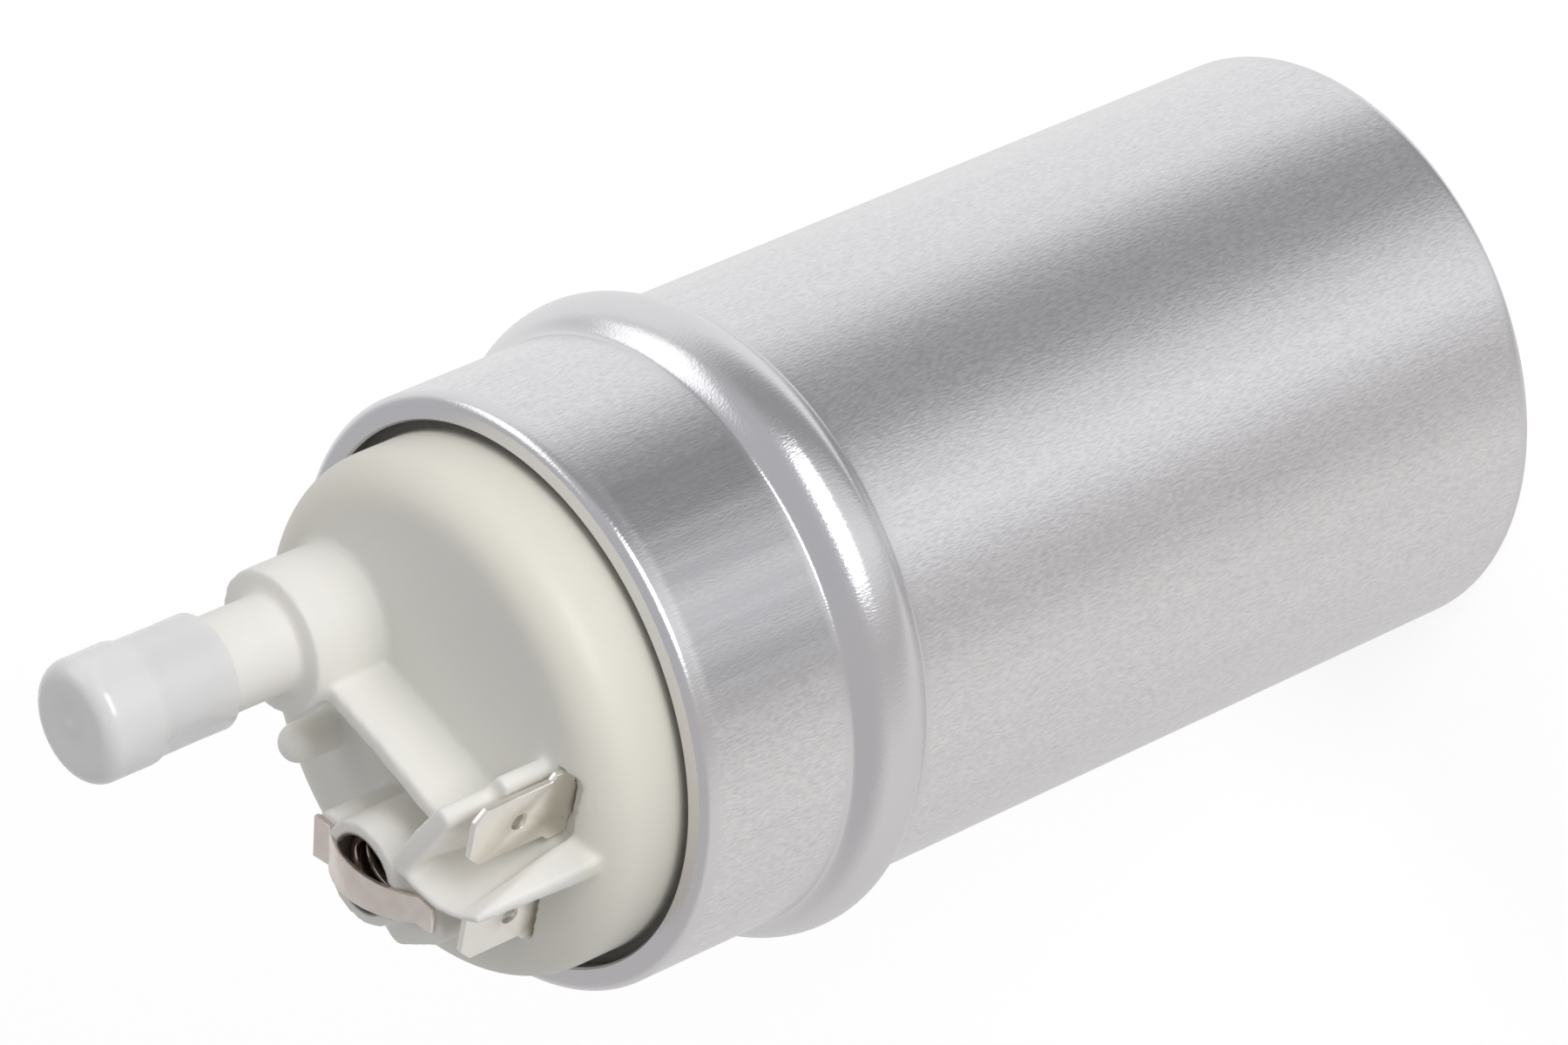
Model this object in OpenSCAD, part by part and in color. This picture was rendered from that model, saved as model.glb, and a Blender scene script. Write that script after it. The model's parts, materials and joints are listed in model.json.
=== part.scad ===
// In-tank electric fuel pump: steel can, moulded outlet cover with hose nipple,
// relief valve and terminal guard, two-pole brush motor and side-channel pump.
// Frame: +Z along the can's axis towards the outlet, z = 0 at the inlet end's lip.
// The hose nipple lies on the +Y side. Millimetres.

/* [Can] */
// Outside radius of the can
can_r = 21.5; // [20.5:0.1:23]
// Sheet thickness of the can
can_wall = 0.9; // [0.6:0.05:1.1]
// Height of the can over its two rolled lips
can_h = 77.7; // [76:0.1:84]
// Outside radius of the rolled corner at the outlet end
can_corner_r = 1.5; // [1.2:0.1:2]
// Outside radius of the rolled corner at the inlet end
inlet_corner_r = 1; // [0.95:0.05:1.4]
// Width of the lip at the inlet end
inlet_lip_w = 4; // [3.3:0.1:4.6]
// Gap between the outlet lip and the cover's wall
lip_gap = 0.8; // [0.3:0.05:0.9]
// Distance from the outlet lip down to the bead's middle
bead_drop = 16.3; // [14:0.1:20]
// Width of the bead along the can
bead_w = 6.2; // [4:0.1:8]
// Height of the bead above the can
bead_h = 1.8; // [0.6:0.1:2.4]

/* [Outlet cover] */
// Step from the can's radius in to the cover's wall above the lip
cover_step = 2.7; // [2.4:0.1:3.5]
// Height of the cover's flat top above the outlet lip
cover_rise = 6.3; // [5:0.1:9]
// Radius of the rounded shoulder
shoulder_r = 3.2; // [1.5:0.1:4]
// Thickness of the cover's walls
cover_wall = 2; // [1.4:0.1:2.4]
// Depth of the cover's flange inside the can
flange_h = 10.6; // [10:0.1:12]
// Play of the parts that slip into the can
slip_fit = 0.1; // [0.05:0.01:0.2]

/* [Seals] */
// Depth of a seal's groove
seal_d = 1.6; // [1.2:0.1:1.8]
// Width of a seal's groove
seal_w = 2.4; // [1.8:0.1:2.8]

/* [Outlet nipple] */
// Distance from the can's axis to the nipple's axis
nipple_y = 10.2; // [9.6:0.1:11]
// Outside radius of the nipple
nipple_r = 3.5; // [3.3:0.05:3.7]
// Bore radius of the nipple
nipple_bore_r = 2.2; // [1.8:0.05:2.4]
// Height of the nipple above its boss
nipple_h = 15.8; // [14:0.1:20]
// Radius of the barb's crest
barb_r = 3.78; // [3.7:0.02:3.9]
// Length of the barb's cone
barb_h = 3.4; // [2.5:0.1:4.5]
// Radius of the boss at the nipple's root
boss_r = 5.2; // [4.8:0.1:5.6]
// Height of the boss above the cover's top
boss_h = 6; // [4.5:0.1:8]

/* [Dust cap] */
// Radial play between the cap's bore and the barb's crest
cap_play = 0.05; // [0.03:0.01:0.1]
// Wall of the cap's skirt
cap_wall = 0.35; // [0.3:0.05:0.6]
// Extra wall round the cap's head
cap_head_extra = 0.25; // [0.1:0.05:0.5]
// Length of the cap
cap_len = 11; // [8:0.1:13]
// Length of the cap's thicker head
cap_head_len = 4.6; // [3:0.1:6]
// Thickness of the cap's closed end
cap_end = 0.8; // [0.5:0.1:1.2]
// Gap between the nipple's tip and the cap's end
cap_gap = 0.2; // [0.1:0.05:0.5]

/* [Check valve] */
// Radius of the valve's chamber under the nipple
chamber_r = 3.4; // [3.2:0.05:3.5]
// Wall round the chamber
chamber_wall = 1.3; // [1:0.1:1.6]
// Depth of the chamber's mouth below the cover's top
chamber_depth = 10; // [9:0.1:12]
// Height of the seat ring in the chamber's mouth
seat_h = 3; // [2:0.1:3.5]
// Flow hole radius of the seat ring
seat_hole_r = 2; // [1.6:0.05:2.2]
// Radius of the poppet's head
poppet_r = 2.8; // [2.6:0.05:2.9]
// Height of the poppet's head
poppet_head_h = 1.6; // [1.2:0.1:2]
// Radius of the poppet's stem
poppet_stem_r = 1; // [0.8:0.05:1.2]
// Thickness of the poppet's rubber seal
poppet_seal_h = 0.6; // [0.4:0.05:0.8]
// Lift of the check valve
check_lift = 2; // [1:0.1:2.5]
// Wire diameter of the check valve's spring
check_wire = 0.35; // [0.25:0.05:0.4]

/* [Relief valve] */
// Place of the relief valve's tower from the can's axis
relief_pos = [-6.15, -5.3];
// Outside radius of the tower
tower_r = 3.85; // [3.5:0.05:4]
// Height of the tower above the cover's top
tower_h = 7; // [6:0.1:8]
// Bore radius of the tower
tower_bore_r = 2.7; // [2.4:0.05:2.8]
// Depth of the ball's seat below the cover's top
relief_seat_drop = 4.5; // [4:0.1:6]
// Radius of the seat's hole
relief_hole_r = 1.1; // [0.8:0.05:1.3]
// Radius of the relief ball
relief_ball_r = 2.1; // [1.9:0.05:2.25]
// Wire diameter of the relief spring
relief_wire = 0.65; // [0.4:0.05:0.7]
// Width of the sheet strap that holds the relief spring, at its wide end
strap_w = 3.4; // [2.8:0.1:3.6]
// Width of the strap at its narrow end
strap_tip_w = 2; // [1.8:0.1:2.6]
// Thickness of the strap
strap_t = 0.4; // [0.3:0.05:0.5]
// Height of the strap's bow above its two feet
strap_bow = 1.55; // [1.2:0.05:2.2]

/* [Guard and terminals] */
// Thickness of the guard's walls and of the rib
guard_t = 1.5; // [1.2:0.1:1.7]
// Height of the guard above the cover's top
guard_h = 8.2; // [7:0.1:10]
// Height of the rib between the boss and the guard
rib_h = 4.9; // [3:0.1:6]
// Place of the terminal blade inside the guard
inner_blade_pos = [7.05, -11.7];
// Place of the terminal blade outside the guard
outer_blade_pos = [-2.2, -13.8];
// Angle of both blades about the can's axis
blade_angle = 16; // [12:1:20]
// Width of a terminal blade
blade_w = 4.8; // [4.2:0.1:5]
// Thickness of a terminal blade
blade_t = 0.5; // [0.4:0.05:0.8]
// Height of the inner blade above the cover's top
inner_blade_h = 7.3; // [6:0.1:9]
// Height of the outer blade above the cover's top
outer_blade_h = 6; // [5:0.1:8]
// Chamfer at a blade's tip
blade_chamfer = 0.9; // [0.5:0.05:1.2]
// Radius of the latch hole in a blade
blade_hole_r = 0.65; // [0.5:0.05:1]
// Depth of the pocket at a blade's foot
pocket_d = 1.2; // [0.8:0.1:1.5]
// Radius of the blind peg beside the boss
peg_r = 1.45; // [1.2:0.05:1.7]
// Height of the blind peg above the cover's top
peg_h = 4.6; // [3:0.1:6]
// Place of the blind peg
peg_pos = [-8.6, 6.4];

/* [Motor] */
// Shaft radius
shaft_r = 2; // [1.8:0.05:2.2]
// Radial running clearance of the shaft in its bushes
run_fit = 0.03; // [0.02:0.01:0.08]
// Outside radius of the sintered bushes
bush_r = 3.5; // [3.2:0.05:3.7]
// Length of a bush
bush_h = 7; // [5:0.1:8]
// Thickness of the magnets
magnet_t = 5; // [4.6:0.1:5.6]
// Distance from a magnet's end to the core's end
core_inset = 5; // [3:0.5:7]
// Number of the armature's slots
slot_count = 8; // [6:1:10]
// Radius of a winding slot as a share of the core's radius
slot_share = 0.194; // [0.16:0.002:0.2]
// Air gap between the core and the magnets
air_gap = 0.5; // [0.3:0.05:0.8]
// Wall of the flux ring
flux_wall = 2.05; // [1.4:0.05:2.4]
// Distance from the flux ring's lower end to the magnets
magnet_low = 4; // [2:0.5:6]
// Distance from the magnets to the flux ring's upper end
magnet_high = 8.1; // [6:0.1:10]
// Angle that each magnet spans
magnet_span = 140; // [120:1:150]
// Step from the core's radius down to the commutator's
commutator_step = 1.9; // [1.4:0.1:2.4]
// Thickness of the commutator's segments
segment_h = 2; // [1.5:0.1:2.5]
// Distance from the commutator's edge to a brush
brush_edge = 1.1; // [0.9:0.1:1.3]
// Distance from the upper bush's hub to a brush
brush_gap = 0.2; // [0.1:0.05:0.6]
// Brush size across the radius
brush_d = 4; // [3.4:0.1:4.2]
// Brush length
brush_h = 9; // [7:0.1:10]
// Wire diameter of the brush springs
brush_wire = 0.4; // [0.3:0.05:0.5]
// Radius of a choke's ferrite core
choke_r = 1.9; // [1.5:0.05:2.1]
// Length of a choke's core
choke_h = 9; // [7:0.1:10]
// Thickness of a choke's winding
choke_coil_t = 1; // [0.7:0.05:1.1]
// Width of the contact strips over the brush springs
strip_w = 2; // [1.6:0.1:2.2]
// Thickness of the contact strips
strip_t = 0.4; // [0.3:0.05:0.5]

/* [Pump stage] */
// Thickness of the inlet plate
plate_h = 7; // [6.5:0.1:9]
// Wall of the casing's skirt round the impeller
skirt_wall = 4.2; // [3.8:0.1:5]
// Impeller thickness
impeller_h = 3.8; // [3:0.1:4.5]
// Play of the impeller on each side
impeller_play = 0.1; // [0.05:0.01:0.15]
// Number of vane slots
vane_count = 36; // [24:1:48]
// Length of a vane slot along the radius
vane_l = 2.6; // [2:0.1:3]
// Radius of the casing's web over the impeller
casing_web_h = 8; // [7.2:0.1:9]
// Radius of the inlet port
inlet_r = 4; // [3.5:0.1:4.2]
// Step from the middle of the vanes in to the inlet port's middle
inlet_step = 3.2; // [2.6:0.1:3.8]

/* [Hidden] */
$fn = 96;
tiny = 0.01;
cut = 1;
face_gap = 0.05;

// Levels along the axis, from the inlet end up
can_ir = can_r - can_wall;
inner_r = can_ir - slip_fit;
inlet_lip_r = can_r - inlet_lip_w;
cover_r = can_r - cover_step;
plate_z = can_wall + face_gap;
plate_top = plate_z + plate_h;
impeller_z = plate_top + impeller_play;
casing_face = impeller_z + impeller_h + impeller_play;
casing_top = casing_face + casing_web_h;
lip_z = can_h - can_wall;
flange_top = lip_z - face_gap;
flange_z = flange_top - flange_h;
cover_top = can_h + cover_rise;
lip_r = cover_r + lip_gap;
bead_z = can_h - bead_drop;

// Flux ring, magnets and armature
ring_or = inner_r;
ring_ir = ring_or - flux_wall;
magnet_or = ring_ir - face_gap;
magnet_ir = magnet_or - magnet_t;
core_r = magnet_ir - air_gap;
ring_z = casing_top + face_gap;
ring_top = flange_z - face_gap;
magnet_z = ring_z + magnet_low;
magnet_h = ring_top - magnet_high - magnet_z;
core_h = magnet_h - 2 * core_inset;
core_z = magnet_z + core_inset;
slot_r = core_r * slot_share;
commutator_r = core_r - commutator_step;
hub_wall = 1.2;
hub_r = bush_r + hub_wall;
brush_w = commutator_r - brush_edge - hub_r - brush_gap;
brush_x = commutator_r - brush_edge - brush_w / 2;
core_top = core_z + core_h;
insulator_h = 0.8;
turns_h = 4.2;
spacer_wall = 1.4;
clip_inset = 2;
clip_t = 0.6;
clip_depth = 1.6;
slot_floor = 1.5;
slot_mouth = 1.4;
slot_ring_r = core_r - slot_r - slot_floor;
commutator_drop = 4;
commutator_top = flange_z - commutator_drop;
segment_z = commutator_top - segment_h;
hub_z = core_top + insulator_h + turns_h + face_gap;

// Outlet cover's inside
cavity_r = cover_r - cover_wall;
cavity_top = cover_top - cover_wall;
bush_inset = 1;
bush_z = flange_z + bush_inset;
bush_top = bush_z + bush_h;
shaft_top = bush_top + 1.2;
hub_top = shaft_top + 1;
shaft_z = plate_top - 2.5;
tube_wall = 1.2;
tube_z = commutator_top + 1.2;
brush_play = 0.06;
brush_z = commutator_top + 0.02;
brush_top = brush_z + brush_h;
tunnel_top = cavity_top - 0.6;
spring_coil_r = 1.7;

// Nipple, cap and check valve
boss_top = cover_top + boss_h;
nipple_top = boss_top + nipple_h;
barb_crest_z = nipple_top - barb_h - 0.5;
cap_bore_r = barb_r + cap_play;
cap_top = nipple_top + cap_gap + cap_end;
cap_z = cap_top - cap_len;
chamber_z = cover_top - chamber_depth;
chamber_top = boss_top - 1.5;
seat_top = chamber_z + seat_h;
poppet_z = seat_top + 0.02;
stem_top = chamber_top - check_lift - 0.4;
head_top = poppet_z + poppet_seal_h + poppet_head_h;

// Relief valve
tower_top = cover_top + tower_h;
relief_seat_z = cover_top - relief_seat_drop;
relief_base_z = relief_seat_z - 1.2;
ball_z = relief_seat_z + sqrt(pow(relief_ball_r, 2) - pow(relief_hole_r, 2)) + 0.02;
relief_coil_r = tower_bore_r - relief_wire / 2 - 0.12;
relief_coil_ir = relief_coil_r - relief_wire / 2;
relief_spring_z = ball_z + sqrt(pow(relief_ball_r, 2) - pow(relief_coil_ir, 2)) + 0.1;
strap_from = [-9.1, -0.1];
strap_to = [-3.9, -11.4];
strap_run = norm(strap_to - strap_from);
strap_turn = atan2(strap_to[1] - strap_from[1], strap_to[0] - strap_from[0]);
strap_foot = 1.8;
post_w = 3.4;
post_pos = [-8, -1.1];
foot_w = 2.8;
foot_pos = strap_to + [-0.6, 1.5];
pad_w = 2.6;
pad_line = [[-8.3, -9], [-5.2, -11.2]];
strap_z = tower_top - 1.1;
strap_play = 0.15;
strap_mid = strap_run / 2;
strap_arc = strap_run - 2 * strap_foot;
strap_r = (pow(strap_arc / 2, 2) + pow(strap_bow, 2)) / (2 * strap_bow);
strap_centre_z = strap_z + strap_bow - strap_r;
strap_side = (strap_to - strap_from) / strap_run;
tower_s = (relief_pos - strap_from) * strap_side;
relief_reach = strap_mid - tower_s + relief_coil_r + relief_wire / 2;
relief_spring_top = strap_centre_z + sqrt(pow(strap_r, 2) - pow(relief_reach, 2)) - 0.03;

// Upper wall of the guard and the lower step beyond its end: middle lines
guard_line = [[6.9, -9.4], [3.05, -8.65], [-0.2, -8.3]];
step_line = [[5.6, -9.2], [8.5, -9.7]];
step_h = 4;
// Scoop of the guard: outer edge at the top, then the outer and inner lines of its foot
scoop_edge = [[5.2, -9.6], [1.6, -9.1], [-0.95, -7.5], [-0.65, -9.9], [0.1, -12.4], [1.5, -14.2],
    [3, -15.65]];
scoop_out = [[5.2, -9.1], [1.6, -8.6], [-1, -7.6], [-0.8, -10], [-0.1, -12.5], [1.3, -14.3],
    [5.1, -16.9]];
scoop_in = [[5.3, -11.3], [3.6, -11], [3.1, -11], [3.2, -11.4], [3.8, -12.4], [4.4, -13.4],
    [6.3, -13.9]];
scoop_end = [6.5, -16.6];
scoop_lip = 0.14;
rib_line = [[0.2, nipple_y - boss_r + 0.6], [1.1, -0.4], [1.7, -7.9]];
blade_slot = 0.08;
tail_w = 3;
tail_z = cavity_top - 6;
strip_z = tunnel_top - strip_t - face_gap;
choke_top = strip_z - face_gap;
choke_z = choke_top - choke_h;
winding_r = choke_r + choke_coil_t;
winding_gap = 0.1;
choke_grip = 2;
choke_turns = 7;
choke_pitch = (choke_h - choke_grip - 0.6) / choke_turns;
// Each choke lies on the axis side of its blade's tail
choke_step = winding_r + blade_t / 2 + 0.2;
choke_shift = [-sin(blade_angle), cos(blade_angle)] * choke_step;
choke_a_pos = inner_blade_pos + choke_shift;
choke_b_pos = outer_blade_pos + choke_shift;
strip_a_line = [[brush_x, 0], choke_a_pos];
strip_b_line = [[-brush_x, 0], [-12.3, -2.8], [-11.3, -9], choke_b_pos];
impeller_r = inner_r - skirt_wall - impeller_play;
impeller_rim = 0.7;
vane_ring_r = impeller_r - impeller_rim - vane_l / 2;
inlet_ring_r = vane_ring_r - inlet_step;

// Points of an arc in the plane of a section
function arc(cx, cy, r, a0, a1, n) =
    [for (i = [0 : n]) let (a = a0 + (a1 - a0) * i / n) [cx + r * cos(a), cy + r * sin(a)]];

// Point on a circle about the can's axis
function polar(r, a) = [r * cos(a), r * sin(a)];

// Height of a spring's wire after u turns: closed ends, even pitch between them
function coil_rise(u, turns, h, wire) =
    let (dead = 0.8, live = turns - 2 * dead, flat = dead * wire * 1.05,
         pitch = (h - wire - 2 * flat) / live)
    u < dead ? u * wire * 1.05
    : u > turns - dead ? h - wire - (turns - u) * wire * 1.05
    : flat + (u - dead) * pitch;

// Round wire wound round the Z axis, standing on z0 and h high over the wire
module coil_spring(coil_r, wire, z0, h, turns, sides = 8, steps = 20) {
    count = ceil(turns * steps);
    rings = [for (i = [0 : count]) let (u = turns * i / count, a = 360 * u)
        [for (k = [0 : sides - 1]) let (b = 360 * k / sides, r = coil_r + wire / 2 * cos(b))
            [r * cos(a), r * sin(a),
             z0 + wire / 2 + coil_rise(u, turns, h, wire) + wire / 2 * sin(b)]]];
    points = [for (ring = rings) for (p = ring) p];
    sides_faces = [for (i = [0 : count - 1]) for (k = [0 : sides - 1])
        let (a = i * sides + k, b = i * sides + (k + 1) % sides)
        [a, a + sides, b + sides, b]];
    first = [for (k = [0 : sides - 1]) k];
    last = [for (k = [sides - 1 : -1 : 0]) count * sides + k];
    polyhedron(points, concat(sides_faces, [first, last]), convexity = 6);
}

// Ring standing on z0
module ring(r_out, r_in, z0, h) {
    translate([0, 0, z0]) difference() {
        cylinder(r = r_out, h = h);
        translate([0, 0, -cut]) cylinder(r = r_in, h = h + 2 * cut);
    }
}

// Outline of a bar that follows a line there and back: round ends and outer corners
function bar_outline(line, w) =
    let (loop = concat(line, [for (i = [len(line) - 2 : -1 : 1]) line[i]]), n = len(loop))
    [for (i = [0 : n - 1])
        let (a = loop[i] - loop[(i + n - 1) % n], b = loop[(i + 1) % n] - loop[i],
             from = atan2(a[1], a[0]), to = atan2(b[1], b[0]),
             turn = (to - from + 541) % 360 - 181, steps = ceil(abs(turn) / 15))
        each turn > -20
            ? [loop[i] + polar(w / 2 / cos(turn / 2), from + 90 + turn / 2)]
            : [for (k = [0 : steps]) loop[i] + polar(w / 2, from + 90 + turn * k / steps)]];

// Upright wall that follows a list of points
module wall_along(line, w, z0, z1) {
    translate([0, 0, z0]) linear_extrude(z1 - z0) polygon(bar_outline(line, w));
}

module pump_can() {
    bead_r = (pow(bead_w / 2, 2) + pow(bead_h, 2)) / (2 * bead_h);
    bead_a = asin(bead_w / 2 / bead_r);
    bead_c = can_r + bead_h - bead_r;
    inner_a = acos((can_ir - bead_c) / (bead_r - can_wall));
    corner_c = can_r - can_corner_r;
    inlet_c = can_r - inlet_corner_r;
    outer = concat([[inlet_lip_r, 0]],
        arc(inlet_c, inlet_corner_r, inlet_corner_r, -90, 0, 6),
        arc(bead_c, bead_z, bead_r, -bead_a, bead_a, 14),
        arc(corner_c, can_h - can_corner_r, can_corner_r, 0, 90, 6),
        [[lip_r, can_h]]);
    inner = concat([[lip_r, lip_z]],
        arc(corner_c, can_h - can_corner_r, can_corner_r - can_wall, 90, 0, 4),
        arc(bead_c, bead_z, bead_r - can_wall, inner_a, -inner_a, 12),
        arc(inlet_c, inlet_corner_r, inlet_corner_r - can_wall, 0, -90, 4),
        [[inlet_lip_r, can_wall]]);
    color("silver") rotate_extrude($fn = 128) polygon(concat(outer, inner));
}

// Section of the cover's shell: flange in the can, wall, shoulder and flat top
module cover_shell() {
    bend = can_corner_r - can_wall;
    outer = concat([[cavity_r, flange_z], [inner_r, flange_z], [inner_r, flange_top - bend],
                    [inner_r - bend, flange_top], [cover_r, flange_top]],
        arc(cover_r - shoulder_r, cover_top - shoulder_r, shoulder_r, 0, 90, 8),
        [[0, cover_top], [0, cavity_top]],
        arc(cavity_r - 1.5, cavity_top - 1.5, 1.5, 90, 0, 4));
    groove_z = flange_z + 3.4;
    rotate_extrude() difference() {
        polygon(outer);
        translate([inner_r - seal_d, groove_z]) square([seal_d + cut, seal_w]);
    }
}

module brush_tube(side) {
    translate([side * brush_x, 0, (tube_z + cavity_top + tiny) / 2])
        cube([brush_w + 2 * (brush_play + tube_wall), brush_d + 2 * (brush_play + tube_wall),
              cavity_top + tiny - tube_z], center = true);
}

module brush_tunnel(side) {
    translate([side * brush_x, 0, (tube_z - cut + tunnel_top) / 2])
        cube([brush_w + 2 * brush_play, brush_d + 2 * brush_play, tunnel_top - tube_z + cut],
             center = true);
}

// Slot for a blade's tail, with the pocket at its foot on the outer side
module blade_cut(pos, pocket_w) {
    translate([pos[0], pos[1], 0]) rotate(blade_angle) {
        translate([-tail_w / 2 - blade_slot, -blade_t / 2 - blade_slot, tail_z])
            cube([tail_w + 2 * blade_slot, blade_t + 2 * blade_slot, cover_top + cut - tail_z]);
        translate([-blade_w / 2 - 0.6, -blade_t / 2 - pocket_w, cover_top - pocket_d])
            cube([blade_w + 1.2, blade_t + pocket_w + blade_slot, pocket_d + cut]);
    }
}

// Scoop that slopes from the guard's outer edge down to the inner blade's foot
module guard_scoop() {
    count = len(scoop_edge) - 1;
    lip = [for (i = [0 : count]) scoop_edge[i] + scoop_lip * (scoop_in[i] - scoop_edge[i])];
    for (i = [0 : count - 1]) hull() {
        translate([0, 0, cover_top + guard_h - 0.4]) linear_extrude(0.35)
            polygon([scoop_edge[i], scoop_edge[i + 1], lip[i + 1], lip[i]]);
        translate([0, 0, cover_top - 0.4]) linear_extrude(0.5)
            polygon([scoop_out[i], scoop_out[i + 1], i == count - 1 ? scoop_end : scoop_in[i + 1],
                     scoop_in[i + 1], scoop_in[i]]);
    }
}

module outlet_cover() {
    color([0.91, 0.9, 0.87]) difference() {
        union() {
            cover_shell();
            // nipple, boss and check valve chamber
            translate([0, nipple_y, 0]) {
                translate([0, 0, cover_top - 1]) cylinder(r = boss_r, h = boss_h + 1);
                translate([0, 0, boss_top - tiny])
                    cylinder(r = nipple_r, h = barb_crest_z - boss_top + 2 * tiny);
                translate([0, 0, barb_crest_z]) cylinder(r = barb_r, h = 0.5);
                translate([0, 0, barb_crest_z + 0.5])
                    cylinder(r1 = barb_r, r2 = nipple_r - 0.5, h = barb_h);
                translate([0, 0, chamber_z])
                    cylinder(r = chamber_r + chamber_wall, h = chamber_depth - 0.5);
            }
            // relief valve tower and the post that holds the strap's foot
            translate([relief_pos[0], relief_pos[1], relief_base_z])
                cylinder(r = tower_r, h = tower_top - relief_base_z);
            wall_along([post_pos, relief_pos], post_w, cover_top - 0.5, strap_z);
            wall_along([foot_pos, relief_pos], foot_w, cover_top - 0.5, strap_z - 0.02);
            wall_along(pad_line, pad_w, cover_top - 0.6, strap_z - 0.01);
            // guard, rib and blind peg
            wall_along(guard_line, guard_t, cover_top - 1.8, cover_top + guard_h);
            wall_along(step_line, guard_t, cover_top - 0.7, cover_top + step_h);
            guard_scoop();
            wall_along(rib_line, guard_t, cover_top - 0.5, cover_top + rib_h);
            translate([peg_pos[0], peg_pos[1], cover_top]) rotate_extrude($fn = 48)
                polygon(concat([[0, -0.5], [peg_r, -0.5]],
                    arc(0, peg_h - peg_r, peg_r, 0, 80, 6), [[0, peg_h - peg_r + peg_r * sin(80)]]));
            // bearing hub and brush tubes
            translate([0, 0, flange_z]) cylinder(r = hub_r, h = cavity_top - flange_z + tiny);
            for (side = [-1, 1]) brush_tube(side);
            // bosses that grip the chokes
            for (pos = [choke_a_pos, choke_b_pos]) translate([pos[0], pos[1], choke_top - choke_grip])
                cylinder(r = winding_r, h = cavity_top - choke_top + choke_grip + tiny);
        }
        // nipple bore, chamber and relief bore
        translate([0, nipple_y, 0]) {
            translate([0, 0, chamber_top - cut])
                cylinder(r = nipple_bore_r, h = nipple_top - chamber_top + 2 * cut);
            translate([0, 0, chamber_z - cut])
                cylinder(r = chamber_r, h = chamber_top - chamber_z + cut);
        }
        translate([relief_pos[0], relief_pos[1], relief_seat_z])
            cylinder(r = tower_bore_r, h = tower_top - relief_seat_z + cut);
        translate([relief_pos[0], relief_pos[1], relief_base_z - cut])
            cylinder(r = relief_hole_r, h = relief_seat_z - relief_base_z + 2 * cut);
        // bush seat with the spacer's way in, shaft clearance and brush tunnels
        translate([0, 0, flange_z - cut]) cylinder(r = shaft_r + 0.5, h = hub_top - flange_z + cut);
        translate([0, 0, tube_z - cut]) cylinder(r = bush_r, h = bush_top - tube_z + cut);
        for (side = [-1, 1]) brush_tunnel(side);
        // lead slots from the brush tunnels to the chokes
        for (line = [strip_a_line, strip_b_line])
            wall_along(line, strip_w + 0.2, flange_z - cut, strip_z + strip_t + face_gap);
        blade_cut(inner_blade_pos, 1.6);
        blade_cut(outer_blade_pos, 0.3);
        // notches of the tower's rim that the strap passes through
        strap_prism(strap_play, face_gap, tower_h);
        // sockets of the chokes and room for their windings
        for (pos = [choke_a_pos, choke_b_pos]) translate([pos[0], pos[1], choke_z]) {
            cylinder(r = choke_r + 0.02, h = choke_h + 0.02);
            translate([0, 0, -cut])
                cylinder(r = winding_r + winding_gap, h = choke_h - choke_grip + cut);
        }
    }
}

module cover_seal() {
    color([0.12, 0.12, 0.13])
        ring(can_ir - 0.03, inner_r - seal_d + 0.03, flange_z + 3.5, seal_w - 0.2);
}

module dust_cap() {
    outer_r = cap_bore_r + cap_wall;
    head_r = outer_r + cap_head_extra;
    head_z = cap_top - cap_head_len;
    end_r = 1.3;
    section = concat([[cap_bore_r, cap_z], [outer_r, cap_z], [outer_r, head_z - 0.8],
                      [head_r, head_z]],
        arc(head_r - end_r, cap_top - end_r, end_r, 0, 90, 6),
        [[0, cap_top], [0, cap_top - cap_end], [cap_bore_r - 0.5, cap_top - cap_end],
         [cap_bore_r, cap_top - cap_end - 0.5]]);
    color([0.88, 0.86, 0.85, 0.8])
        translate([0, nipple_y, 0]) rotate_extrude($fn = 64) polygon(section);
}

module check_valve_seat() {
    color([0.85, 0.84, 0.8]) translate([0, nipple_y, 0])
        ring(chamber_r - 0.02, seat_hole_r, chamber_z, seat_h);
}

module check_valve_poppet() {
    guide_r = seat_hole_r - 0.3;
    color([0.3, 0.3, 0.32]) translate([0, nipple_y, 0]) {
        translate([0, 0, poppet_z + poppet_seal_h]) cylinder(r = poppet_r, h = poppet_head_h);
        translate([0, 0, head_top - tiny]) cylinder(r = poppet_stem_r, h = stem_top - head_top);
        translate([0, 0, chamber_z + 0.5])
            cylinder(r = poppet_stem_r * 0.8, h = poppet_z + poppet_seal_h - chamber_z - 0.4);
        translate([0, 0, chamber_z + 0.5]) linear_extrude(seat_h - 1)
            for (a = [0, 120, 240]) rotate(a) translate([0, -0.3]) square([guide_r, 0.6]);
    }
}

module check_valve_seal() {
    color([0.1, 0.1, 0.1]) translate([0, nipple_y, 0])
        ring(poppet_r - 0.1, poppet_stem_r * 0.8 + 0.02, poppet_z, poppet_seal_h - 0.02);
}

module check_valve_spring() {
    z0 = head_top + 0.03;
    color("lightgray") translate([0, nipple_y, 0])
        coil_spring((nipple_bore_r + chamber_r) / 2 - 0.1, check_wire, z0,
                    chamber_top - 0.03 - z0, 7);
}

module relief_ball() {
    color("silver") translate([relief_pos[0], relief_pos[1], ball_z])
        sphere(r = relief_ball_r, $fn = 48);
}

module relief_spring() {
    color("gray") translate([relief_pos[0], relief_pos[1], 0])
        coil_spring(relief_coil_r, relief_wire, relief_spring_z,
                    relief_spring_top - relief_spring_z, 7.5, 10, 24);
}

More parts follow.
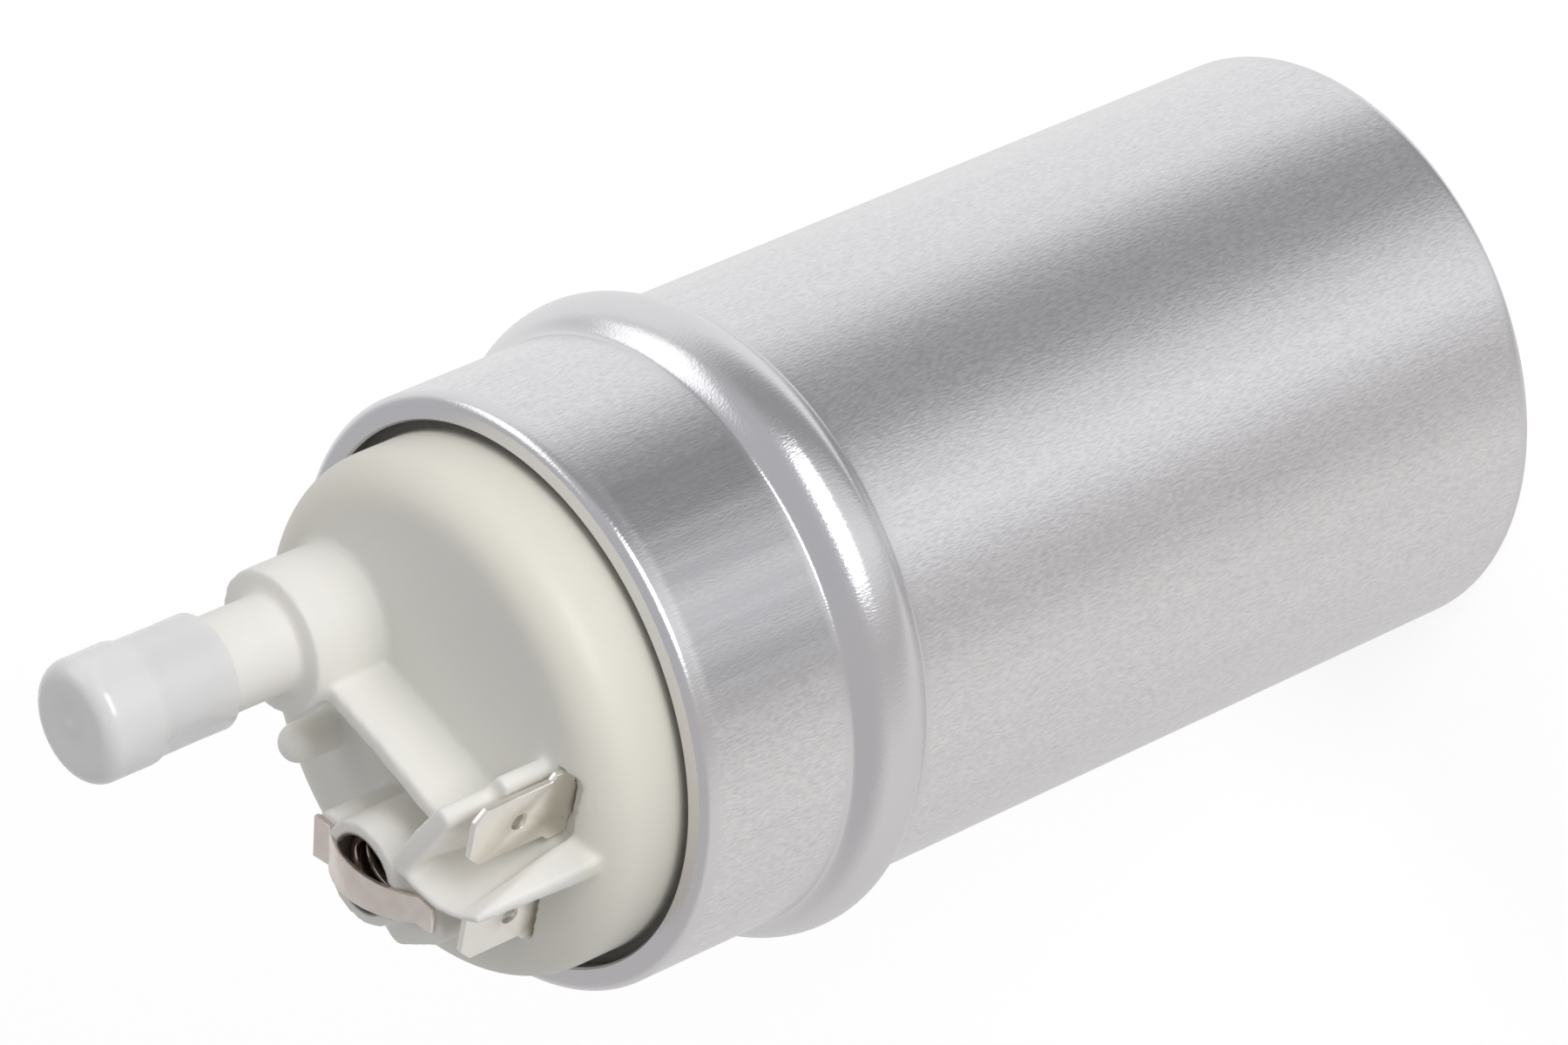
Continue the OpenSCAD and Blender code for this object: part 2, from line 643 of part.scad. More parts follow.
// Bowed sheet strap that narrows towards its foot: its side view cut to its plan
module strap_prism(play, low, high) {
    plan = [[-play, strap_w / 2 + play], [-play, -strap_w / 2 - play],
            [strap_run + play, -strap_tip_w / 2 - play], [strap_run + play, strap_tip_w / 2 + play]];
    bow_a = asin(strap_arc / 2 / strap_r);
    under = arc(strap_mid, strap_centre_z, strap_r - low, 90 + bow_a, 90 - bow_a, 10);
    over = arc(strap_mid, strap_centre_z, strap_r + strap_t, 90 - bow_a, 90 + bow_a, 10);
    side = concat([[-cut, strap_z - low]], under,
                  [[strap_run + cut, strap_z - low], [strap_run + cut, strap_z + strap_t + high]],
                  [for (p = over) p + [0, high]], [[-cut, strap_z + strap_t + high]]);
    translate([strap_from[0], strap_from[1], 0]) rotate(strap_turn) intersection() {
        translate([0, strap_w, 0]) rotate([90, 0, 0]) linear_extrude(2 * strap_w) polygon(side);
        translate([0, 0, strap_z - cut]) linear_extrude(strap_bow + high + 2 * cut) polygon(plan);
    }
}

module relief_strap() {
    color([0.72, 0.64, 0.6]) strap_prism(0, 0, 0);
}

// Terminal blade standing in its slot, with shoulders in the pocket and a tail inside
module terminal(pos, h) {
    tip = cover_top + h;
    foot = cover_top - pocket_d + 0.02;
    half = blade_w / 2;
    shoulder = half + 0.45;
    outline = [[-tail_w / 2, tail_z], [tail_w / 2, tail_z], [tail_w / 2, foot],
               [shoulder, foot], [shoulder, cover_top + 0.5], [half, cover_top + 0.9],
               [half, tip - blade_chamfer], [half - blade_chamfer, tip],
               [blade_chamfer - half, tip], [-half, tip - blade_chamfer],
               [-half, cover_top + 0.9], [-shoulder, cover_top + 0.5], [-shoulder, foot],
               [-tail_w / 2, foot]];
    translate([pos[0], pos[1], 0]) rotate(blade_angle) {
        translate([0, blade_t / 2, 0]) rotate([90, 0, 0]) linear_extrude(blade_t) difference() {
            polygon(outline);
            translate([0, tip - 4]) circle(r = blade_hole_r, $fn = 32);
        }
    }
}

module inner_terminal() {
    color([0.74, 0.7, 0.66]) terminal(inner_blade_pos, inner_blade_h);
}

module outer_terminal() {
    color([0.74, 0.7, 0.66]) terminal(outer_blade_pos, outer_blade_h);
}

module choke_core(pos) {
    color([0.25, 0.24, 0.24]) translate([pos[0], pos[1], choke_z]) cylinder(r = choke_r, h = choke_h);
}

module choke_winding(pos) {
    color([0.72, 0.4, 0.2]) translate([pos[0], pos[1], 0])
        for (i = [0 : choke_turns - 1])
            ring(winding_r, choke_r + 0.02, choke_z + 0.4 + i * choke_pitch, choke_pitch - 0.04);
}

module choke_core_a() { choke_core(choke_a_pos); }
module choke_core_b() { choke_core(choke_b_pos); }
module choke_winding_a() { choke_winding(choke_a_pos); }
module choke_winding_b() { choke_winding(choke_b_pos); }

// Sheet strip from a brush's spring to its choke
module contact_strip(line) {
    color([0.78, 0.62, 0.3]) wall_along(line, strip_w, strip_z, strip_z + strip_t);
}

module contact_strip_a() { contact_strip(strip_a_line); }
module contact_strip_b() { contact_strip(strip_b_line); }

module brush(side) {
    color([0.2, 0.2, 0.21]) translate([side * brush_x, 0, brush_z + brush_h / 2])
        cube([brush_w, brush_d, brush_h], center = true);
}

module brush_spring(side) {
    z0 = brush_top + 0.03;
    color("lightgray") translate([side * brush_x, 0, 0])
        coil_spring(spring_coil_r, brush_wire, z0, strip_z - 0.03 - z0, 6);
}

module brush_lead(side) {
    color([0.75, 0.42, 0.22]) translate([side * brush_x, 0, brush_top + 0.02])
        cylinder(r = 0.5, h = strip_z - brush_top - 0.04, $fn = 24);
}

module brush_a() { brush(1); }
module brush_b() { brush(-1); }
module brush_spring_a() { brush_spring(1); }
module brush_spring_b() { brush_spring(-1); }
module brush_lead_a() { brush_lead(1); }
module brush_lead_b() { brush_lead(-1); }

module upper_bush() {
    color([0.62, 0.48, 0.28]) ring(bush_r - 0.02, shaft_r + run_fit, bush_z, bush_h - 0.05);
}

module lower_bush() {
    color([0.62, 0.48, 0.28])
        ring(bush_r - 0.02, shaft_r + run_fit, casing_top - bush_h, bush_h);
}

module thrust_pad() {
    color([0.5, 0.5, 0.52]) translate([0, 0, shaft_z - face_gap - 1.5])
        cylinder(r = shaft_r + 0.6, h = 1.5);
}

// Shaft with a flat on its lower end for the impeller
module shaft() {
    flat_x = shaft_r * 0.7;
    color([0.7, 0.71, 0.73]) difference() {
        translate([0, 0, shaft_z]) cylinder(r = shaft_r, h = shaft_top - shaft_z);
        translate([flat_x, -shaft_r, shaft_z - cut])
            cube([shaft_r, 2 * shaft_r, casing_face - shaft_z + cut]);
    }
}

module core_outline() {
    difference() {
        circle(r = core_r);
        circle(r = shaft_r + 0.02);
        for (i = [0 : slot_count - 1]) rotate(360 * (i + 0.5) / slot_count) {
            translate([slot_ring_r, 0]) circle(r = slot_r);
            translate([slot_ring_r, -slot_mouth / 2]) square([core_r, slot_mouth]);
        }
    }
}

module armature_core() {
    color([0.45, 0.46, 0.48]) translate([0, 0, core_z]) linear_extrude(core_h) core_outline();
}

module armature_winding() {
    ring_ir = slot_ring_r - slot_r;
    ring_or = slot_ring_r + slot_r - 0.2;
    corner = 1.2;
    color([0.7, 0.36, 0.16]) {
        for (i = [0 : slot_count - 1]) rotate(360 * (i + 0.5) / slot_count)
            translate([slot_ring_r, 0, core_z - insulator_h - 1])
                cylinder(r = slot_r - 0.15, h = core_h + 2 * insulator_h + 2, $fn = 32);
        for (z0 = [core_z - insulator_h - turns_h, core_top + insulator_h])
            translate([0, 0, z0]) rotate_extrude()
                polygon([[ring_ir, 0.02], [ring_or - corner, 0.02], [ring_or, corner],
                         [ring_or, turns_h - corner], [ring_or - corner, turns_h - 0.02],
                         [ring_ir, turns_h - 0.02]]);
    }
}

module end_insulator(z0) {
    color([0.75, 0.68, 0.5]) translate([0, 0, z0]) linear_extrude(insulator_h - 0.04)
        difference() {
            circle(r = core_r - 0.5);
            circle(r = shaft_r + 0.02);
            for (i = [0 : slot_count - 1]) rotate(360 * (i + 0.5) / slot_count) {
                translate([slot_ring_r, 0]) circle(r = slot_r);
                translate([slot_ring_r, -slot_mouth / 2]) square([core_r, slot_mouth]);
            }
        }
}

module upper_end_insulator() { end_insulator(core_top + 0.02); }
module lower_end_insulator() { end_insulator(core_z - insulator_h + 0.02); }

module commutator_hub() {
    color([0.3, 0.2, 0.14]) difference() {
        union() {
            translate([0, 0, hub_z]) cylinder(r = commutator_r, h = segment_z - hub_z - 0.02);
            translate([0, 0, core_top + insulator_h + 0.02])
                cylinder(r = slot_ring_r - slot_r - 0.2,
                         h = commutator_top - core_top - insulator_h - 0.3);
        }
        translate([0, 0, core_top]) cylinder(r = shaft_r + 0.02, h = commutator_top);
    }
}

module commutator_segments() {
    inner = slot_ring_r - slot_r;
    color([0.72, 0.42, 0.24]) translate([0, 0, segment_z]) linear_extrude(segment_h)
        difference() {
            circle(r = commutator_r);
            circle(r = inner);
            for (i = [0 : slot_count - 1]) rotate(360 * i / slot_count)
                translate([0, -0.25]) square([commutator_r + cut, 0.5]);
        }
}

module upper_spacer() {
    color([0.8, 0.78, 0.7])
        ring(shaft_r + spacer_wall, shaft_r + 0.02, commutator_top + 0.1,
             bush_z - commutator_top - 0.2);
}

module lower_spacer() {
    color([0.8, 0.78, 0.7])
        ring(shaft_r + spacer_wall, shaft_r + 0.02, casing_top + 0.1,
             core_z - insulator_h - casing_top - 0.15);
}

module flux_ring() {
    color([0.5, 0.52, 0.55]) ring(ring_or, ring_ir, ring_z, ring_top - ring_z);
}

module magnet(side) {
    color([0.23, 0.23, 0.25]) translate([0, 0, magnet_z])
        rotate(90 * side - magnet_span / 2)
            rotate_extrude(angle = magnet_span)
                translate([magnet_ir, 0]) square([magnet_t, magnet_h]);
}

module magnet_a() { magnet(1); }
module magnet_b() { magnet(-1); }

// Sheet spring between the magnets' edges, bent to a shallow V against the flux ring
module magnet_clip(side) {
    gap_a = (180 - magnet_span) / 2;
    edge = polar(magnet_or - clip_depth, gap_a - 1.3);
    back = [magnet_or - clip_t, 0];
    color([0.66, 0.67, 0.7]) translate([0, 0, magnet_z + clip_inset]) rotate(side > 0 ? 0 : 180)
        linear_extrude(magnet_h - 2 * clip_inset)
            polygon(bar_outline([edge, back, [edge[0], -edge[1]]], clip_t));
}

module magnet_clip_a() { magnet_clip(1); }
module magnet_clip_b() { magnet_clip(-1); }

// Casing with a skirt round the impeller, the lower bearing's hub and the outlet port
module pump_casing() {
    port_r = vane_ring_r;
    color([0.72, 0.73, 0.75]) difference() {
        translate([0, 0, plate_top + 0.02]) cylinder(r = inner_r, h = casing_top - plate_top - 0.02);
        translate([0, 0, plate_top - cut])
            cylinder(r = impeller_r + impeller_play, h = casing_face - plate_top + cut);
        translate([0, 0, casing_face - cut]) cylinder(r = shaft_r + 0.5, h = casing_web_h + 2 * cut);
        translate([0, 0, casing_top - bush_h]) cylinder(r = bush_r, h = bush_h + cut);
        // flow channel over the vanes and the outlet port
        translate([0, 0, casing_face]) rotate(60) rotate_extrude(angle = 290)
            translate([port_r, 0]) circle(r = vane_l / 2, $fn = 32);
        translate([0, 0, casing_face - cut]) rotate(310) rotate_extrude(angle = 30)
            translate([port_r - 1.2, 0]) square([2.4, casing_web_h + 2 * cut]);
        // groove of the casing's seal
        translate([0, 0, casing_top - 4]) difference() {
            cylinder(r = inner_r + cut, h = seal_w);
            translate([0, 0, -cut]) cylinder(r = inner_r - seal_d, h = seal_w + 2 * cut);
        }
    }
}

module casing_seal() {
    color([0.12, 0.12, 0.13])
        ring(can_ir - 0.03, inner_r - seal_d + 0.03, casing_top - 3.9, seal_w - 0.2);
}

module impeller() {
    flat_x = shaft_r * 0.7 + 0.02;
    color([0.2, 0.2, 0.2]) translate([0, 0, impeller_z]) difference() {
        cylinder(r = impeller_r, h = impeller_h);
        difference() {
            translate([0, 0, -cut]) cylinder(r = shaft_r + 0.02, h = impeller_h + 2 * cut);
            translate([flat_x, -2 * shaft_r, -2 * cut])
                cube([2 * shaft_r, 4 * shaft_r, impeller_h + 4 * cut]);
        }
        for (i = [0 : vane_count - 1]) rotate(360 * i / vane_count)
            translate([vane_ring_r - vane_l / 2, -0.55, -cut])
                cube([vane_l, 1.1, impeller_h + 2 * cut]);
    }
}

module inlet_plate() {
    color([0.68, 0.69, 0.71]) difference() {
        translate([0, 0, plate_z]) cylinder(r = inner_r, h = plate_h);
        // the can's rolled corner
        translate([0, 0, plate_z - cut]) difference() {
            cylinder(r = inner_r + cut, h = inlet_corner_r + cut);
            translate([0, 0, -cut]) cylinder(r = inner_r - 0.8, h = inlet_corner_r + 3 * cut);
        }
        // seat of the thrust pad and the shaft's end
        translate([0, 0, shaft_z - face_gap - 1.5]) cylinder(r = shaft_r + 0.65, h = plate_h);
        // flow channel under the vanes, and the inlet port
        translate([0, 0, plate_top]) rotate(60) rotate_extrude(angle = 290)
            translate([vane_ring_r, 0]) circle(r = vane_l / 2, $fn = 32);
        translate([0, inlet_ring_r, plate_z - cut]) cylinder(r = inlet_r, h = plate_h + 2 * cut);
    }
}

pump_can();
outlet_cover();
cover_seal();
dust_cap();
check_valve_seat();
check_valve_poppet();
check_valve_seal();
check_valve_spring();
relief_ball();
relief_spring();
relief_strap();
inner_terminal();
outer_terminal();
choke_core_a();
choke_core_b();
choke_winding_a();
choke_winding_b();
contact_strip_a();
contact_strip_b();
brush_a();
brush_b();
brush_spring_a();
brush_spring_b();
brush_lead_a();
brush_lead_b();
upper_bush();
lower_bush();
thrust_pad();
shaft();
armature_core();
armature_winding();
upper_end_insulator();
lower_end_insulator();
commutator_hub();
commutator_segments();
upper_spacer();
lower_spacer();
flux_ring();
magnet_a();
magnet_b();
magnet_clip_a();
magnet_clip_b();
pump_casing();
casing_seal();
impeller();
inlet_plate();
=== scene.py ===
import json
import math

import bmesh
import bpy
from mathutils import Matrix, Vector


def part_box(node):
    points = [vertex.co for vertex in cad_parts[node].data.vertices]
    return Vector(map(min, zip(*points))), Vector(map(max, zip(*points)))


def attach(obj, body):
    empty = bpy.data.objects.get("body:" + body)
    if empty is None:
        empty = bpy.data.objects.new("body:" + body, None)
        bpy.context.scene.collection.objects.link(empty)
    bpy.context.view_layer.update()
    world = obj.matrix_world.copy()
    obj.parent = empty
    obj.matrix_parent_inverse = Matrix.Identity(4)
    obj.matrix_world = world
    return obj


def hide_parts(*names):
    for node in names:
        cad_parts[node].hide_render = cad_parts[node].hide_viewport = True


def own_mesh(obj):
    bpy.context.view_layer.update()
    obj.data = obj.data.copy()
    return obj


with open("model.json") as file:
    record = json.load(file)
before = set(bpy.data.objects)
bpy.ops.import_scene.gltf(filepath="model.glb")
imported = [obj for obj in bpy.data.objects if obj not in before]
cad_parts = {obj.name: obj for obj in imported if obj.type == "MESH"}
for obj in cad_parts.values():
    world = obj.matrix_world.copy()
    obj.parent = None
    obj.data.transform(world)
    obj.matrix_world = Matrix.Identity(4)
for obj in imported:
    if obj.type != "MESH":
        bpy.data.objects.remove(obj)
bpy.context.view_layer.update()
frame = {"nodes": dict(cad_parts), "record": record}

nodes = frame["nodes"]
MM = 0.001

# Main sizes of the pump, in millimetres. The outlet corner is the bend inside its lip, and the
# outlet edge is the rounding outside it.
CAN_R = 21.5
CAN_WALL = 0.9
CAN_H = 77.7
OUTLET_CORNER_R = 1.5
INLET_CORNER_R = 1.0
INLET_LIP_R = 17.5
OUTLET_LIP_R = 19.6
OUTLET_EDGE_R = 0.8
BEAD_Z = 61.4
BEAD_W = 6.2
BEAD_H = 1.8
NIPPLE_Y = 10.2
RELIEF_POS = (-6.15, -5.3)
CAP_TOP = 106.8
CAP_LEN = 11.0
CAP_BORE = 3.83
CAP_SKIRT_WALL = 0.35
CAP_HEAD_STEP = 0.25
CAP_HEAD_LEN = 4.6
CAP_ROUND = 1.3
CAP_ROOF = 0.8
ROLLED_HALF = 3.2
SHEET_EDGE = 0.07
COVER_VOXEL = 0.26

# Places on the can, heights in metres and turns in radians: patch of painted shade on the neck and the
# two rims
NECK_SHADE_HEIGHTS = (0.0655, 0.0756)
NECK_SHADE_TURN = (-0.56, -0.02)
NECK_SHADE_TURN_SOFT = 0.26
OUTLET_RIM = (0.0768, 0.08)
INLET_RIM = (-0.001, 0.0008)
EDGE_SOFT = 0.0008

# Depths of the fine textures in metres, and their repeats per metre along X, Y and Z
GRAIN_DEPTH = 0.00004
MOULD_DEPTH = 0.00006
SCRATCH_DEPTH = 0.00003
STREAK_SCALE = (700, 700, 26)
SCRATCH_SCALE = (6000, 900, 700)

# Colours of the can's grain and of the moulded cover; the last three are painted light on the cover's
# raised parts, painted shade in the relief bore and painted shade in the gap at the can
GRAIN_TONES = [(0.3, (0.70, 0.695, 0.705)), (0.5, (0.80, 0.795, 0.80)), (0.7, (0.88, 0.875, 0.88))]
COVER_WHITE = (0.80, 0.795, 0.745)
COVER_PALE = (0.86, 0.85, 0.80)
COVER_CREAM = (0.86, 0.83, 0.73)
RAISED_PAINTED_LIGHT = (0.93, 0.91, 0.86)
BORE_SHADE = (0.10, 0.07, 0.055)
GAP_SHADE = (0.025, 0.02, 0.015)

CAN_POLISHED = (0.75, 0.745, 0.75)
# Painted shade laid on a patch of the can's neck
CAN_NECK_SHADE = (0.52, 0.52, 0.545)
CAP_MILKY = (0.90, 0.885, 0.875)
CAP_CLEAR = (0.96, 0.95, 0.945)

# The camera's lens and place in millimetres and its three directions; then the studio's levels
LENS = 202.05
CAMERA_PLACE = (458.937, -194.807, 401.394)
CAMERA_RIGHT = (0.32777929, -0.57405247, -0.75034958)
CAMERA_UP = (0.5737227, 0.75195647, -0.32465941)
CAMERA_BACK = (0.75060175, -0.32407596, 0.5758227)
ABOVE_GREY = (0.4, 0.4, 0.41)
ABOVE_SHEEN = (0.54, 0.54, 0.555)
FLOOR_GREY = (0.86, 0.86, 0.86)
FLOOR_GLOW = 0.56


# Studio

def make_camera():
    """Camera at the photograph's viewing angle."""
    data = bpy.data.cameras.new("camera")
    data.lens = LENS
    data.sensor_width = 36.0
    data.sensor_fit = "HORIZONTAL"
    data.clip_start = 0.05
    data.clip_end = 20.0
    camera = bpy.data.objects.new("camera", data)
    bpy.context.scene.collection.objects.link(camera)
    turn = Matrix((CAMERA_RIGHT, CAMERA_UP, CAMERA_BACK)).transposed().to_4x4()
    place = Matrix.Translation(Vector(CAMERA_PLACE) * MM)
    camera.matrix_world = place @ turn
    bpy.context.scene.camera = camera


def make_lamp(name, place, aim, size, power):
    """Soft box in millimetres, aimed at a point."""
    data = bpy.data.lights.new(name, "AREA")
    data.shape = "RECTANGLE"
    data.size = size[0] * MM
    data.size_y = size[1] * MM
    data.energy = power
    lamp = bpy.data.objects.new(name, data)
    bpy.context.scene.collection.objects.link(lamp)
    start = Vector(place) * MM
    lamp.location = start
    lamp.rotation_euler = (Vector(aim) * MM - start).to_track_quat("-Z", "Y").to_euler()
    lamp.visible_camera = False


def make_world():
    """White ground for the camera, soft grey walls with darker gaps between the soft boxes."""
    world = bpy.data.worlds.new("studio")
    bpy.context.scene.world = world
    world.use_nodes = True
    world.cycles.sampling_method = "NONE"
    net = Net(world.node_tree)
    direction = net.add("ShaderNodeTexCoord").outputs["Generated"]
    split = net.add("ShaderNodeSeparateXYZ", Vector=direction)
    turn = net.math("ARCTAN2", split.outputs["Y"], split.outputs["X"])
    share = net.math("MULTIPLY_ADD", turn, 1 / (2 * math.pi), 0.5)
    walls = net.ramp(share, WALL_LIGHT, "EASE")
    above = net.ramp(split.outputs["Z"], [(0.0, 0.0), (0.45, 1.0)])
    level = net.add("ShaderNodeMix", data_type="RGBA", Factor=above)
    net.link(walls, level.inputs[6])
    path = net.add("ShaderNodeLightPath")
    net.link(net.mix(path.outputs["Is Glossy Ray"], ABOVE_GREY, ABOVE_SHEEN), level.inputs[7])
    colour = net.add("ShaderNodeMix", data_type="RGBA", Factor=path.outputs["Is Camera Ray"])
    net.link(level.outputs[2], colour.inputs[6])
    colour.inputs[7].default_value = (1, 1, 1, 1)
    ground = net.add("ShaderNodeBackground", Color=colour.outputs[2])
    out = net.add("ShaderNodeOutputWorld")
    net.link(ground.outputs[0], out.inputs["Surface"])


def make_floor():
    """Pale floor: white to the camera, with the pump's own shadow on it."""
    bm = bmesh.new()
    bmesh.ops.create_grid(bm, x_segments=2, y_segments=2, size=4.0)
    floor = mesh_object("floor", bm)
    mat, net, shader = new_material("floor_paper")
    shader.inputs["Roughness"].default_value = 0.9
    shader.inputs["Base Color"].default_value = (*FLOOR_GREY, 1)
    path = net.add("ShaderNodeLightPath")
    seen = net.math("ADD", path.outputs["Is Camera Ray"], path.outputs["Is Transmission Ray"])
    seen = net.math("MINIMUM", net.math("ADD", seen, path.outputs["Is Glossy Ray"]), 1.0)
    shader.inputs["Emission Color"].default_value = (1, 1, 1, 1)
    net.link(net.math("MULTIPLY", seen, FLOOR_GLOW), shader.inputs["Emission Strength"])
    floor.data.materials.append(mat)
    floor.visible_glossy = False


# Helpers for node trees

class Net:
    """Short way to build a node tree."""

    def __init__(self, tree):
        self.tree = tree
        tree.nodes.clear()

    def add(self, kind, **values):
        node = self.tree.nodes.new(kind)
        for name, value in values.items():
            socket = name.replace("_", " ") if hasattr(value, "is_output") else name
            if hasattr(node, name) and not hasattr(value, "is_output") and name.islower():
                setattr(node, name, value)
            elif hasattr(value, "is_output"):
                self.link(value, node.inputs[socket])
            else:
                node.inputs[name.replace("_", " ")].default_value = value
        return node

    def link(self, start, end):
        self.tree.links.new(start, end)

    def math(self, operation, *values):
        node = self.tree.nodes.new("ShaderNodeMath")
        node.operation = operation
        for socket, value in zip(node.inputs, values):
            if hasattr(value, "is_output"):
                self.link(value, socket)
            else:
                socket.default_value = value
        return node.outputs[0]

    def ramp(self, factor, stops, interpolation="LINEAR"):
        node = self.tree.nodes.new("ShaderNodeValToRGB")
        ramp = node.color_ramp
        ramp.interpolation = interpolation
        while len(ramp.elements) < len(stops):
            ramp.elements.new(0.5)
        for element, (position, value) in zip(ramp.elements, stops):
            colour = value if isinstance(value, tuple) else (value, value, value)
            element.position = position
            element.color = (*colour, 1)
        self.link(factor, node.inputs["Fac"])
        return node.outputs["Color"]

    def mix(self, factor, first, second):
        node = self.tree.nodes.new("ShaderNodeMix")
        node.data_type = "RGBA"
        for socket, value in ((node.inputs[0], factor), (node.inputs[6], first),
                              (node.inputs[7], second)):
            if hasattr(value, "is_output"):
                self.link(value, socket)
            else:
                socket.default_value = (*value, 1) if isinstance(value, tuple) else value
        return node.outputs[2]

    def group(self, tree, **values):
        node = self.tree.nodes.new("ShaderNodeGroup")
        node.node_tree = tree
        for name, value in values.items():
            socket = node.inputs[name.replace("_", " ")]
            if hasattr(value, "is_output"):
                self.link(value, socket)
            else:
                socket.default_value = value
        return node


def new_material(name):
    mat = bpy.data.materials.new(name)
    mat.use_nodes = True
    net = Net(mat.node_tree)
    shader = net.add("ShaderNodeBsdfPrincipled")
    out = net.add("ShaderNodeOutputMaterial")
    net.link(shader.outputs[0], out.inputs["Surface"])
    return mat, net, shader


def new_group(name, inputs, outputs):
    """Shader node group with named sockets; inputs are (name, default)."""
    tree = bpy.data.node_groups.new(name, "ShaderNodeTree")
    for label, value in inputs:
        socket = tree.interface.new_socket(label, in_out="INPUT", socket_type="NodeSocketFloat")
        socket.default_value = value
    for label, kind in outputs:
        tree.interface.new_socket(label, in_out="OUTPUT", socket_type="NodeSocket" + kind)
    net = Net(tree)
    return tree, net, net.add("NodeGroupInput"), net.add("NodeGroupOutput")


# Surface effects that several finishes share

def build_grain():
    """Fine drawn lines along the can's axis, with broader streaks."""
    tree, net, given, out = new_group(
        "drawn grain", [("Across", 9000.0), ("Along", 260.0), ("Depth", 0.25)],
        [("Lines", "Float"), ("Streaks", "Float"), ("Normal", "Vector")])
    where = net.add("ShaderNodeTexCoord").outputs["Object"]
    split = net.add("ShaderNodeSeparateXYZ", Vector=where)
    across = given.outputs["Across"]
    fine = net.add("ShaderNodeCombineXYZ",
                   X=net.math("MULTIPLY", split.outputs["X"], across),
                   Y=net.math("MULTIPLY", split.outputs["Y"], across),
                   Z=net.math("MULTIPLY", split.outputs["Z"], given.outputs["Along"]))
    lines = net.add("ShaderNodeTexNoise", Vector=fine.outputs[0], Scale=1.0, Detail=3.0)
    broad = net.add("ShaderNodeVectorMath", operation="MULTIPLY")
    net.link(where, broad.inputs[0])
    broad.inputs[1].default_value = STREAK_SCALE
    streaks = net.add("ShaderNodeTexNoise", Vector=broad.outputs[0], Scale=1.0, Detail=4.0)
    bump = net.add("ShaderNodeBump", Distance=GRAIN_DEPTH)
    net.link(given.outputs["Depth"], bump.inputs["Strength"])
    net.link(lines.outputs["Fac"], bump.inputs["Height"])
    net.link(lines.outputs["Fac"], out.inputs["Lines"])
    net.link(streaks.outputs["Fac"], out.inputs["Streaks"])
    net.link(bump.outputs[0], out.inputs["Normal"])
    return tree


def build_mould():
    """Soft unevenness and fine texture of a moulded surface."""
    tree, net, given, out = new_group(
        "moulded surface", [("Scale", 400.0), ("Depth", 0.2)],
        [("Mottle", "Float"), ("Normal", "Vector")])
    where = net.add("ShaderNodeTexCoord").outputs["Object"]
    fine = net.add("ShaderNodeTexNoise", Vector=where, Detail=3.0)
    net.link(given.outputs["Scale"], fine.inputs["Scale"])
    broad = net.add("ShaderNodeTexNoise", Vector=where, Scale=90.0, Detail=2.0)
    height = net.math("MULTIPLY_ADD", broad.outputs["Fac"], 2.0, fine.outputs["Fac"])
    bump = net.add("ShaderNodeBump", Distance=MOULD_DEPTH)
    net.link(given.outputs["Depth"], bump.inputs["Strength"])
    net.link(height, bump.inputs["Height"])
    net.link(broad.outputs["Fac"], out.inputs["Mottle"])
    net.link(bump.outputs[0], out.inputs["Normal"])
    return tree


def build_scuffs():
    """Fine scratches in all directions and dull patches on small metal parts."""
    tree, net, given, out = new_group(
        "scuffs", [("Scale", 900.0), ("Depth", 0.2)],
        [("Patches", "Float"), ("Normal", "Vector")])
    where = net.add("ShaderNodeTexCoord").outputs["Object"]
    patches = net.add("ShaderNodeTexNoise", Vector=where, Detail=4.0)
    net.link(given.outputs["Scale"], patches.inputs["Scale"])
    stretch = net.add("ShaderNodeVectorMath", operation="MULTIPLY")
    net.link(where, stretch.inputs[0])
    stretch.inputs[1].default_value = SCRATCH_SCALE
    scratches = net.add("ShaderNodeTexNoise", Vector=stretch.outputs[0], Scale=1.0, Detail=2.0)
    bump = net.add("ShaderNodeBump", Distance=SCRATCH_DEPTH)
    net.link(given.outputs["Depth"], bump.inputs["Strength"])
    net.link(scratches.outputs["Fac"], bump.inputs["Height"])
    net.link(patches.outputs["Fac"], out.inputs["Patches"])
    net.link(bump.outputs[0], out.inputs["Normal"])
    return tree


# Finishes

def band(net, value, low, high, soft):
    """1 between low and high, with soft ends."""
    rise = net.add("ShaderNodeMapRange", interpolation_type="SMOOTHSTEP", Value=value)
    rise.inputs["From Min"].default_value = low - soft
    rise.inputs["From Max"].default_value = low
    fall = net.add("ShaderNodeMapRange", interpolation_type="SMOOTHSTEP", Value=value)
    fall.inputs["From Min"].default_value = high
    fall.inputs["From Max"].default_value = high + soft
    fall.inputs["To Min"].default_value = 1
    fall.inputs["To Max"].default_value = 0
    return net.math("MULTIPLY", rise.outputs[0], fall.outputs[0])


